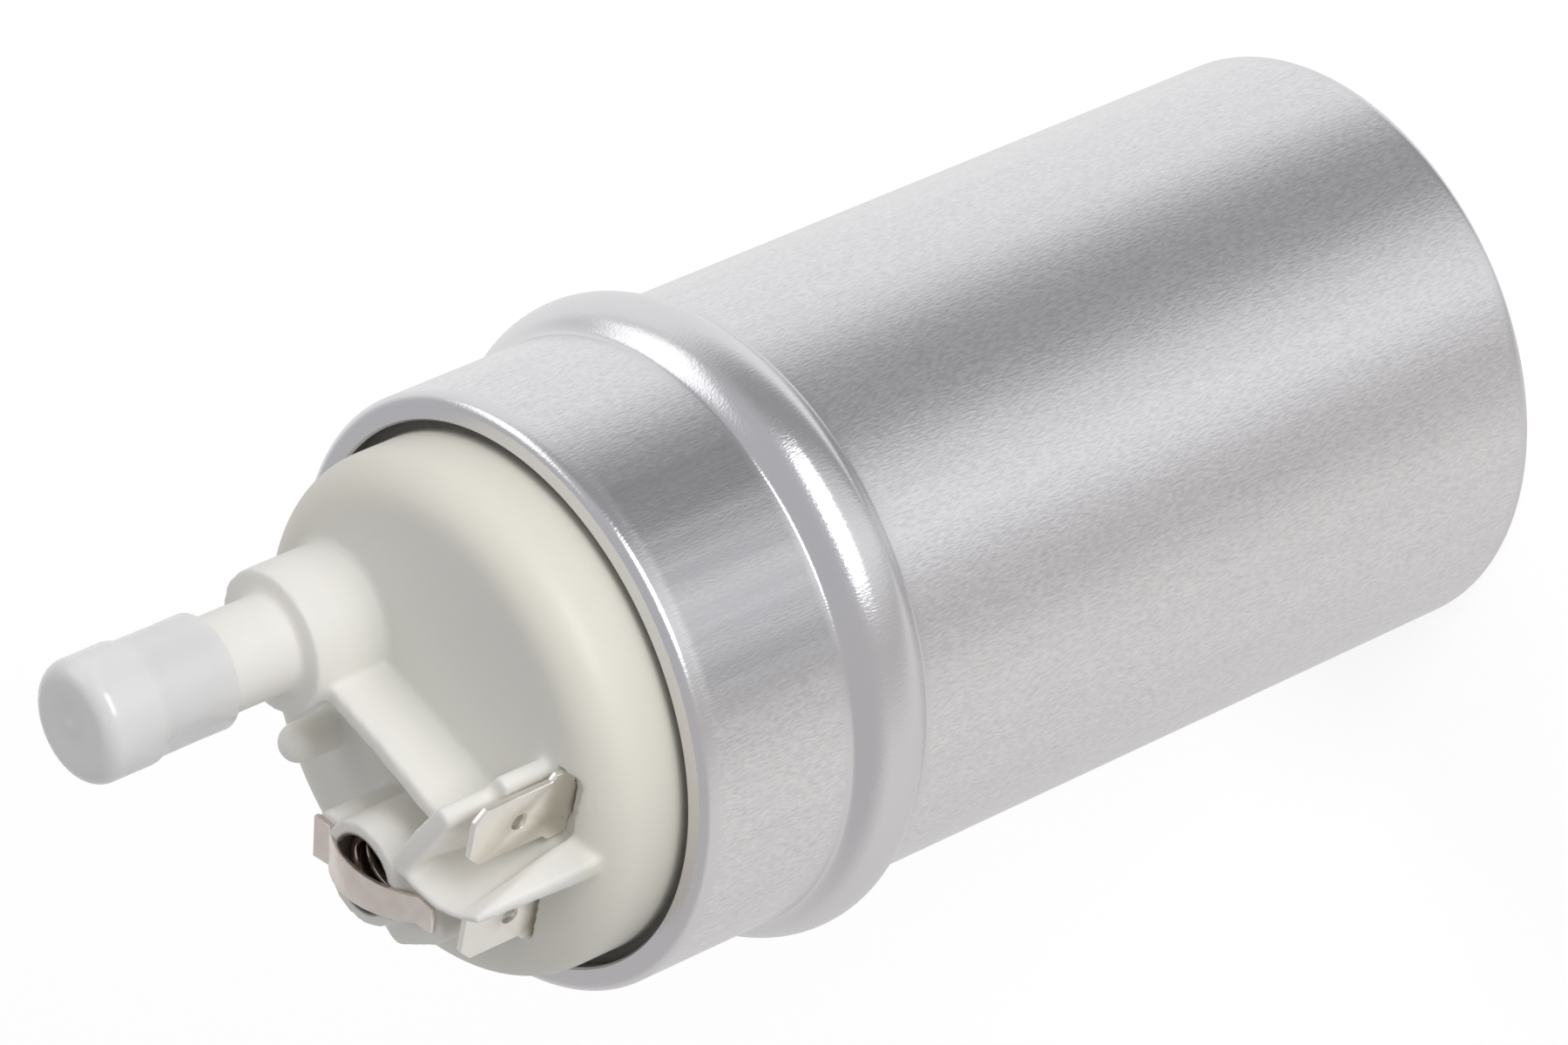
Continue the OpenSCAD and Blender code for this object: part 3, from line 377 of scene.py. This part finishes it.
def can_steel():
    """Drawn and plated sheet: satin on the body, polished where the rollers pressed it, with a painted
    reflection tint round the can and painted shade on a patch of the neck.
    """
    mat, net, shader = new_material("can_steel")
    grain = net.group(GRAIN, Across=6500.0, Along=1700.0, Depth=0.42)
    where = net.add("ShaderNodeTexCoord").outputs["Object"]
    split = net.add("ShaderNodeSeparateXYZ", Vector=where)
    height = split.outputs["Z"]
    turn = net.math("ARCTAN2", split.outputs["Y"], split.outputs["X"])
    rolled = band(net, height, (BEAD_Z - ROLLED_HALF) * MM, (BEAD_Z + ROLLED_HALF) * MM, 0.0012)
    # Painted shade: a darker patch on the neck over part of the way round
    neck = net.math("MULTIPLY", band(net, height, *NECK_SHADE_HEIGHTS, EDGE_SOFT),
                    band(net, turn, *NECK_SHADE_TURN, NECK_SHADE_TURN_SOFT))
    rims = net.math("ADD", band(net, height, *OUTLET_RIM, EDGE_SOFT),
                    band(net, height, *INLET_RIM, EDGE_SOFT))
    polish = net.math("MINIMUM", net.math("ADD", rolled, rims), 1.0)
    tone = net.ramp(grain.outputs["Lines"], GRAIN_TONES)
    streak = net.ramp(grain.outputs["Streaks"], [(0.35, 0.97), (0.6, 1.0)])
    mixed = net.add("ShaderNodeMix", data_type="RGBA", blend_type="MULTIPLY")
    mixed.inputs[0].default_value = 1.0
    net.link(tone, mixed.inputs[6])
    net.link(streak, mixed.inputs[7])
    plain = net.mix(polish, mixed.outputs[2], CAN_POLISHED)
    # Painted reflection tint: warm or cool by direction round the can
    cast = net.add("ShaderNodeMix", data_type="RGBA", blend_type="MULTIPLY")
    cast.inputs[0].default_value = 1.0
    net.link(plain, cast.inputs[6])
    net.link(net.ramp(net.math("MULTIPLY_ADD", turn, 1 / (2 * math.pi), 0.5), CAN_REFLECTION_TINT),
             cast.inputs[7])
    # The neck's painted shade, mottled by the streaks
    neck_painted_shade = net.math("MULTIPLY", neck, net.ramp(grain.outputs["Streaks"], [(0.3, 0.9), (0.7, 0.5)]))
    net.link(net.mix(neck_painted_shade, cast.outputs[2], CAN_NECK_SHADE), shader.inputs["Base Color"])
    rough = net.math("MULTIPLY_ADD", grain.outputs["Lines"], 0.12, 0.18)
    rough = net.math("MULTIPLY_ADD", net.math("MULTIPLY", polish, rough), -0.2, rough)
    net.link(rough, shader.inputs["Roughness"])
    net.link(grain.outputs["Normal"], shader.inputs["Normal"])
    shader.inputs["Metallic"].default_value = 1.0
    return mat


def height_mask(net, height, stops):
    """Ramp over the height above the pump's foot, with its stops in tenths of a metre."""
    return net.ramp(net.math("MULTIPLY", height, 10.0), stops)


def white_plastic():
    """White moulded plastic: cream towards the rim, painted light on the raised parts, painted shade in
    the gap at the can and in the relief bore.
    """
    mat, net, shader = new_material("white_plastic")
    mould = net.group(MOULD, Scale=700.0, Depth=0.16)
    where = net.add("ShaderNodeTexCoord").outputs["Object"]
    split = net.add("ShaderNodeSeparateXYZ", Vector=where)
    flat = net.add("ShaderNodeCombineXYZ", X=split.outputs["X"], Y=split.outputs["Y"])
    radius = net.add("ShaderNodeVectorMath", operation="LENGTH")
    net.link(flat.outputs[0], radius.inputs[0])
    rim = net.ramp(net.math("MULTIPLY", radius.outputs["Value"], 50.0), [(0.70, 0.0), (0.86, 1.0)])
    low = height_mask(net, split.outputs["Z"], [(0.842, 1.0), (0.85, 0.0)])
    cream = net.math("MULTIPLY", net.math("MULTIPLY", rim, low), 0.8)
    mottled = net.mix(net.math("MULTIPLY", mould.outputs["Mottle"], 0.35), COVER_WHITE, COVER_PALE)
    toned = net.mix(cream, mottled, COVER_CREAM)
    # Painted light: the raised parts paler, as if they caught more light
    raised_light = height_mask(net, split.outputs["Z"], [(0.845, 0.0), (0.875, 1.0)])
    pale = net.mix(raised_light, toned, RAISED_PAINTED_LIGHT)
    # Painted shade in the gap at the can: near black below the lip's height
    gap = height_mask(net, split.outputs["Z"], [(0.768, 1.0), (0.776, 0.0)])
    # Painted shade in the relief bore: dark brown within its radius
    reach = net.add("ShaderNodeVectorMath", operation="DISTANCE")
    net.link(flat.outputs[0], reach.inputs[0])
    reach.inputs[1].default_value = (RELIEF_POS[0] * MM, RELIEF_POS[1] * MM, 0)
    bore = net.ramp(net.math("MULTIPLY", reach.outputs["Value"], 100.0), [(0.285, 1.0), (0.31, 0.0)])
    dark = net.math("MULTIPLY", bore, 0.96)
    bore_shaded = net.mix(dark, pale, BORE_SHADE)
    net.link(net.mix(gap, bore_shaded, GAP_SHADE), shader.inputs["Base Color"])
    net.link(net.math("MULTIPLY_ADD", mould.outputs["Mottle"], 0.12, 0.4),
             shader.inputs["Roughness"])
    net.link(mould.outputs["Normal"], shader.inputs["Normal"])
    shader.inputs["Subsurface Weight"].default_value = 0.2
    shader.inputs["Subsurface Radius"].default_value = (1.0, 0.9, 0.7)
    shader.inputs["Subsurface Scale"].default_value = 0.0012
    return mat


def milky_plastic():
    """Thin soft milky plastic that lets some light through."""
    mat, net, shader = new_material("milky_plastic")
    mould = net.group(MOULD, Scale=300.0, Depth=0.12)
    net.link(net.mix(mould.outputs["Mottle"], CAP_MILKY, CAP_CLEAR),
             shader.inputs["Base Color"])
    net.link(net.math("MULTIPLY_ADD", mould.outputs["Mottle"], 0.1, 0.16),
             shader.inputs["Roughness"])
    net.link(mould.outputs["Normal"], shader.inputs["Normal"])
    shader.inputs["Subsurface Weight"].default_value = 0.35
    shader.inputs["Subsurface Radius"].default_value = (1.0, 0.95, 0.9)
    shader.inputs["Subsurface Scale"].default_value = 0.0015
    shader.inputs["Coat Weight"].default_value = 0.6
    shader.inputs["Coat Roughness"].default_value = 0.12
    shader.inputs["Transmission Weight"].default_value = 0.06
    shader.inputs["IOR"].default_value = 1.5
    return mat


def scuffed_metal(name, dark, pale, rough, metallic=1.0, scale=900.0, depth=0.2):
    """Small metal part with fine scratches and dull patches."""
    mat, net, shader = new_material(name)
    scuffs = net.group(SCUFFS, Scale=scale, Depth=depth)
    net.link(net.mix(scuffs.outputs["Patches"], dark, pale), shader.inputs["Base Color"])
    net.link(net.math("MULTIPLY_ADD", scuffs.outputs["Patches"], 0.25, rough - 0.12),
             shader.inputs["Roughness"])
    net.link(scuffs.outputs["Normal"], shader.inputs["Normal"])
    shader.inputs["Metallic"].default_value = metallic
    return mat


def moulded_stuff(name, dark, pale, rough, scale=900.0, depth=0.3):
    """Matte moulded, pressed or sintered stuff."""
    mat, net, shader = new_material(name)
    mould = net.group(MOULD, Scale=scale, Depth=depth)
    net.link(net.mix(mould.outputs["Mottle"], dark, pale), shader.inputs["Base Color"])
    net.link(net.math("MULTIPLY_ADD", mould.outputs["Mottle"], 0.15, rough - 0.07),
             shader.inputs["Roughness"])
    net.link(mould.outputs["Normal"], shader.inputs["Normal"])
    return mat


# Helpers for meshes

def mesh_object(name, bm):
    data = bpy.data.meshes.new(name)
    bm.to_mesh(data)
    bm.free()
    obj = bpy.data.objects.new(name, data)
    bpy.context.scene.collection.objects.link(obj)
    return obj


def smooth(obj, sharp_angle=35):
    for face in obj.data.polygons:
        face.use_smooth = True
    if sharp_angle:
        bm = bmesh.new()
        bm.from_mesh(obj.data)
        for edge in bm.edges:
            if len(edge.link_faces) == 2:
                edge.smooth = edge.calc_face_angle() < math.radians(sharp_angle)
        bm.to_mesh(obj.data)
        bm.free()
    return obj


def lathe(name, profile, centre=(0, 0), steps=192):
    """Closed solid turned from a closed profile of (radius, height), in millimetres."""
    bm = bmesh.new()
    rings = []
    for r, z in profile:
        if r < 1e-6:
            rings.append([bm.verts.new((centre[0] * MM, centre[1] * MM, z * MM))])
            continue
        ring = []
        for k in range(steps):
            a = 2 * math.pi * k / steps
            ring.append(bm.verts.new(((centre[0] + r * math.cos(a)) * MM,
                                      (centre[1] + r * math.sin(a)) * MM, z * MM)))
        rings.append(ring)
    for first, second in zip(rings, rings[1:] + rings[:1]):
        if len(first) == 1 and len(second) == 1:
            continue
        for k in range(steps):
            n = (k + 1) % steps
            loop = [first[k % len(first)], first[n % len(first)],
                    second[n % len(second)], second[k % len(second)]]
            face = []
            for vert in loop:
                if vert not in face:
                    face.append(vert)
            bm.faces.new(face)
    bmesh.ops.recalc_face_normals(bm, faces=bm.faces)
    return smooth(mesh_object(name, bm))


def arc(cx, cz, r, a0, a1, n):
    points = []
    for i in range(n + 1):
        a = math.radians(a0 + (a1 - a0) * i / n)
        points.append((cx + r * math.cos(a), cz + r * math.sin(a)))
    return points


def merged_copy(node, name):
    """Copy of a CAD node's mesh with its triangles joined."""
    bm = bmesh.new()
    bm.from_mesh(nodes[node].data)
    bmesh.ops.remove_doubles(bm, verts=bm.verts, dist=1e-6)
    return mesh_object(name, bm)


def baked(obj):
    """Applies the modifiers of a piece."""
    graph = bpy.context.evaluated_depsgraph_get()
    mesh = bpy.data.meshes.new_from_object(obj.evaluated_get(graph))
    obj.modifiers.clear()
    obj.data = mesh


def finish_piece(obj, mat, slot, body, *replaced):
    obj.data.materials.clear()
    obj.data.materials.append(mat)
    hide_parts(*replaced)
    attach(obj, body)


# Pieces

def bead_rise(z):
    """Height of the rolled bead at z, with small fillets at its feet."""
    r = (BEAD_W ** 2 / 4 + BEAD_H ** 2) / (2 * BEAD_H)
    off = min(abs(z - BEAD_Z), r)
    crown = math.sqrt(r * r - off * off) - (r - BEAD_H)
    fillet = 0.7
    near = max(fillet - abs(crown), 0.0) / fillet
    return max(crown, 0.0) + near * near * fillet / 4


def make_can():
    low_r = CAN_R - INLET_CORNER_R
    high_r = CAN_R - OUTLET_CORNER_R
    outer = [(INLET_LIP_R, 0.12), (INLET_LIP_R + 0.12, 0.0)]
    outer += arc(low_r, INLET_CORNER_R, INLET_CORNER_R, -90, 0, 12)
    outer += [(CAN_R, z) for z in (10, 20, 30, 40, 50, 55)]
    outer += [(CAN_R + bead_rise(z), z) for z in (BEAD_Z - 4.4 + 0.11 * i for i in range(81))]
    outer += [(CAN_R, 68), (CAN_R, 72)]
    outer += arc(CAN_R - OUTLET_EDGE_R, CAN_H - OUTLET_EDGE_R, OUTLET_EDGE_R, 0, 90, 14)
    outer += [(OUTLET_LIP_R + 0.15, CAN_H), (OUTLET_LIP_R, CAN_H - 0.15)]
    inner_r = CAN_R - CAN_WALL
    low_bend = INLET_CORNER_R - CAN_WALL
    high_bend = OUTLET_CORNER_R - CAN_WALL
    inner = [(OUTLET_LIP_R, CAN_H - CAN_WALL)]
    inner += arc(high_r, CAN_H - OUTLET_CORNER_R, high_bend, 90, 0, 6)
    inner += [(inner_r + bead_rise(z), z) for z in (BEAD_Z + 4.2 - 0.21 * i for i in range(41))]
    inner += arc(low_r, INLET_CORNER_R, low_bend, 0, -90, 3)
    inner += [(INLET_LIP_R, CAN_WALL)]
    can = lathe("rolled_can", outer + inner, steps=256)
    finish_piece(can, CAN_STEEL, "can_steel", "pump", "pump_can")


def make_cover():
    """Moulded cover with rounded edges all over."""
    cover = merged_copy("outlet_cover", "moulded_cover")
    fine = cover.modifiers.new("fine", "REMESH")
    fine.mode = "VOXEL"
    fine.voxel_size = COVER_VOXEL * MM
    soften = cover.modifiers.new("soften", "SMOOTH")
    soften.factor = 0.5
    soften.iterations = 5
    thin = cover.modifiers.new("thin", "DECIMATE")
    thin.ratio = 0.4
    baked(cover)
    smooth(cover, 0)
    finish_piece(cover, WHITE_PLASTIC, "white_plastic", "pump", "outlet_cover")


def make_cap():
    """Thin transit cap: plain skirt, thicker head, domed end with a faint dimple."""
    bore = CAP_BORE
    skirt = bore + CAP_SKIRT_WALL
    head = skirt + CAP_HEAD_STEP
    bottom = CAP_TOP - CAP_LEN
    head_z = CAP_TOP - CAP_HEAD_LEN
    outer = [(bore, bottom + 0.06), (bore + 0.08, bottom), (skirt - 0.1, bottom)]
    outer += arc(skirt - 0.1, bottom + 0.1, 0.1, -90, 0, 4)
    outer += [(skirt - 0.02, bottom + 2.5), (skirt, head_z - 1.0), (skirt + 0.03, head_z - 0.7),
              (head - 0.04, head_z - 0.15), (head, head_z + 0.1)]
    outer += arc(head - CAP_ROUND, CAP_TOP - CAP_ROUND, CAP_ROUND, 0, 86, 12)
    outer += [(2.2, CAP_TOP - 0.02), (1.5, CAP_TOP - 0.12), (0.6, CAP_TOP - 0.16),
              (0.25, CAP_TOP - 0.05), (0, CAP_TOP - 0.05)]
    inner = [(0, CAP_TOP - CAP_ROOF), (bore - 0.5, CAP_TOP - CAP_ROOF)]
    inner += arc(bore - 0.5, CAP_TOP - 1.3, 0.5, 90, 0, 5)[1:]
    cap = lathe("transit_cap", outer + inner, centre=(0, NIPPLE_Y), steps=96)
    finish_piece(cap, MILKY_PLASTIC, "milky_plastic", "dust_cap", "dust_cap")


def make_sheet_part(node, name, mat):
    """Stamped sheet part with broken edges."""
    part = merged_copy(node, name)
    bevel = part.modifiers.new("edge", "BEVEL")
    bevel.width = SHEET_EDGE * MM
    bevel.segments = 2
    bevel.limit_method = "ANGLE"
    bevel.angle_limit = math.radians(35)
    baked(part)
    smooth(part, 40)
    finish_piece(part, mat, "tin_plate", "pump", node)


# Coil springs

def spring_tree():
    """Round wire along a spiral, by radius, wire, height and turns."""
    tree = bpy.data.node_groups.new("coil spring", "GeometryNodeTree")
    tree.is_modifier = True
    face = tree.interface
    face.new_socket("Geometry", in_out="INPUT", socket_type="NodeSocketGeometry")
    for label, kind in (("Radius", "Float"), ("Wire", "Float"), ("Height", "Float"),
                        ("Turns", "Float"), ("Place", "Vector"), ("Finish", "Material")):
        face.new_socket(label, in_out="INPUT", socket_type="NodeSocket" + kind)
    face.new_socket("Geometry", in_out="OUTPUT", socket_type="NodeSocketGeometry")
    net = Net(tree)
    given = net.add("NodeGroupInput")
    out = net.add("NodeGroupOutput")
    spiral = net.add("GeometryNodeCurveSpiral", Resolution=48, Rotations=given.outputs["Turns"])
    net.link(given.outputs["Radius"], spiral.inputs["Start Radius"])
    net.link(given.outputs["Radius"], spiral.inputs["End Radius"])
    net.link(given.outputs["Height"], spiral.inputs["Height"])
    place = net.add("GeometryNodeTransform", Geometry=spiral.outputs[0])
    net.link(given.outputs["Place"], place.inputs["Translation"])
    section = net.add("GeometryNodeCurvePrimitiveCircle", Resolution=12)
    net.link(given.outputs["Wire"], section.inputs["Radius"])
    wire = net.add("GeometryNodeCurveToMesh", Curve=place.outputs[0])
    net.link(section.outputs[0], wire.inputs["Profile Curve"])
    wire.inputs["Fill Caps"].default_value = True
    solid = net.add("GeometryNodeRealizeInstances", Geometry=wire.outputs[0])
    dressed = net.add("GeometryNodeSetMaterial", Geometry=solid.outputs[0])
    net.link(given.outputs["Finish"], dressed.inputs["Material"])
    net.link(dressed.outputs[0], out.inputs["Geometry"])
    return tree


def make_spring(node, radius, wire, turns, mat):
    """Coil spring in its CAD node's place, as high as the node."""
    low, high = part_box(node)
    obj = bpy.data.objects.new(node.replace("spring", "coil"), bpy.data.meshes.new(node))
    bpy.context.scene.collection.objects.link(obj)
    modifier = obj.modifiers.new("coil", "NODES")
    modifier.node_group = SPRING_TREE
    rise = high.z - low.z - wire * MM
    centre = ((low.x + high.x) / 2, (low.y + high.y) / 2, low.z + wire / 2 * MM)
    values = {"Radius": radius * MM, "Wire": wire / 2 * MM, "Height": rise,
              "Turns": turns, "Place": centre, "Finish": mat}
    for item in SPRING_TREE.interface.items_tree:
        if item.in_out == "INPUT" and item.name in values:
            modifier[item.identifier] = values[item.name]
    baked(obj)
    for polygon in obj.data.polygons:
        polygon.use_smooth = True
    return obj, rise + wire * MM, high.z, centre


def make_springs():
    rows = (("relief_spring", 2.255, 0.65, 7.5, "relief_ball_lift", 1.2),
            ("check_valve_spring", 2.7, 0.35, 7.0, "check_valve_lift", 2.0),
            ("brush_spring_a", 1.7, 0.4, 6.0, "brush_a_travel", 3.0),
            ("brush_spring_b", 1.7, 0.4, 6.0, "brush_b_travel", 3.0))
    for node, radius, wire, turns, joint, travel in rows:
        coil, length, top, centre = make_spring(node, radius, wire, turns, SPRING_STEEL)
        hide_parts(node)
        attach(coil, "pump")
        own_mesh(coil)


def dress_nodes():
    """Finish of every CAD node by its material slot."""
    finishes = {
        "can_steel": CAN_STEEL, "white_plastic": WHITE_PLASTIC, "milky_plastic": MILKY_PLASTIC,
        "tin_plate": TIN, "spring_steel": SPRING_STEEL,
        "bright_steel": scuffed_metal("bright_steel", (0.7, 0.7, 0.71), (0.85, 0.85, 0.86), 0.2),
        "black_rubber": moulded_stuff("black_rubber", (0.02, 0.02, 0.02), (0.04, 0.04, 0.04), 0.7),
        "black_plastic": moulded_stuff("black_plastic", (0.03, 0.03, 0.032), (0.06, 0.06, 0.06), 0.5),
        "ferrite": moulded_stuff("ferrite", (0.05, 0.05, 0.052), (0.09, 0.09, 0.09), 0.75, 2500.0),
        "copper": scuffed_metal("copper", (0.55, 0.22, 0.09), (0.75, 0.36, 0.18), 0.35),
        "bronze": scuffed_metal("bronze", (0.4, 0.27, 0.12), (0.58, 0.42, 0.22), 0.5, 1.0, 3000.0),
        "carbon": moulded_stuff("carbon", (0.03, 0.03, 0.03), (0.07, 0.07, 0.07), 0.6, 3000.0),
        "core_steel": scuffed_metal("core_steel", (0.3, 0.31, 0.32), (0.5, 0.51, 0.53), 0.4),
        "fibre": moulded_stuff("fibre", (0.5, 0.4, 0.24), (0.68, 0.58, 0.38), 0.8, 1500.0),
        "cast_alloy": scuffed_metal("cast_alloy", (0.5, 0.51, 0.52), (0.68, 0.69, 0.71), 0.45),
    }
    for part in frame["record"]["subparts"]:
        mesh = nodes[part["node"]].data
        mesh.materials.clear()
        mesh.materials.append(finishes[part["material_slot"]])


# Grey level of the studio's walls by direction round the pump, from -X through -Y, +X and +Y
WALL_LIGHT = [(0.0, 0.68), (0.24, 0.76), (0.34, 0.54), (0.43, 0.92), (0.48, 0.74),
              (0.545, 0.36), (0.60, 0.36), (0.70, 0.9), (0.86, 0.9), (1.0, 0.68)]

# Painted reflection tint of the sheet by direction round the can: warm low down, cool above
CAN_REFLECTION_TINT = [(0.385, (1.0, 0.972, 0.972)), (0.425, (0.975, 0.975, 1.0)), (0.6, (0.985, 0.985, 1.0))]

GRAIN = build_grain()
MOULD = build_mould()
SCUFFS = build_scuffs()
CAN_STEEL = can_steel()
WHITE_PLASTIC = white_plastic()
MILKY_PLASTIC = milky_plastic()
TIN = scuffed_metal("tin_plate", (0.87, 0.83, 0.77), (0.97, 0.93, 0.88), 0.36)
NICKEL = scuffed_metal("nickel_strap", (0.74, 0.65, 0.59), (0.95, 0.87, 0.81), 0.34)
SPRING_STEEL = scuffed_metal("spring_steel", (0.62, 0.52, 0.45), (0.9, 0.8, 0.72), 0.2)
SPRING_TREE = spring_tree()

bpy.context.scene.view_settings.view_transform = "Standard"
make_camera()
make_world()
make_floor()
make_lamp("key", (600, -150, 110), (0, 0, 60), (420, 300), 1.9)
make_lamp("fill", (150, 500, 420), (0, 0, 60), (400, 400), 0.45)
dress_nodes()
make_can()
make_cover()
make_cap()
make_sheet_part("inner_terminal", "inner_blade", TIN)
make_sheet_part("outer_terminal", "outer_blade", TIN)
make_sheet_part("relief_strap", "bowed_strap", NICKEL)
make_springs()
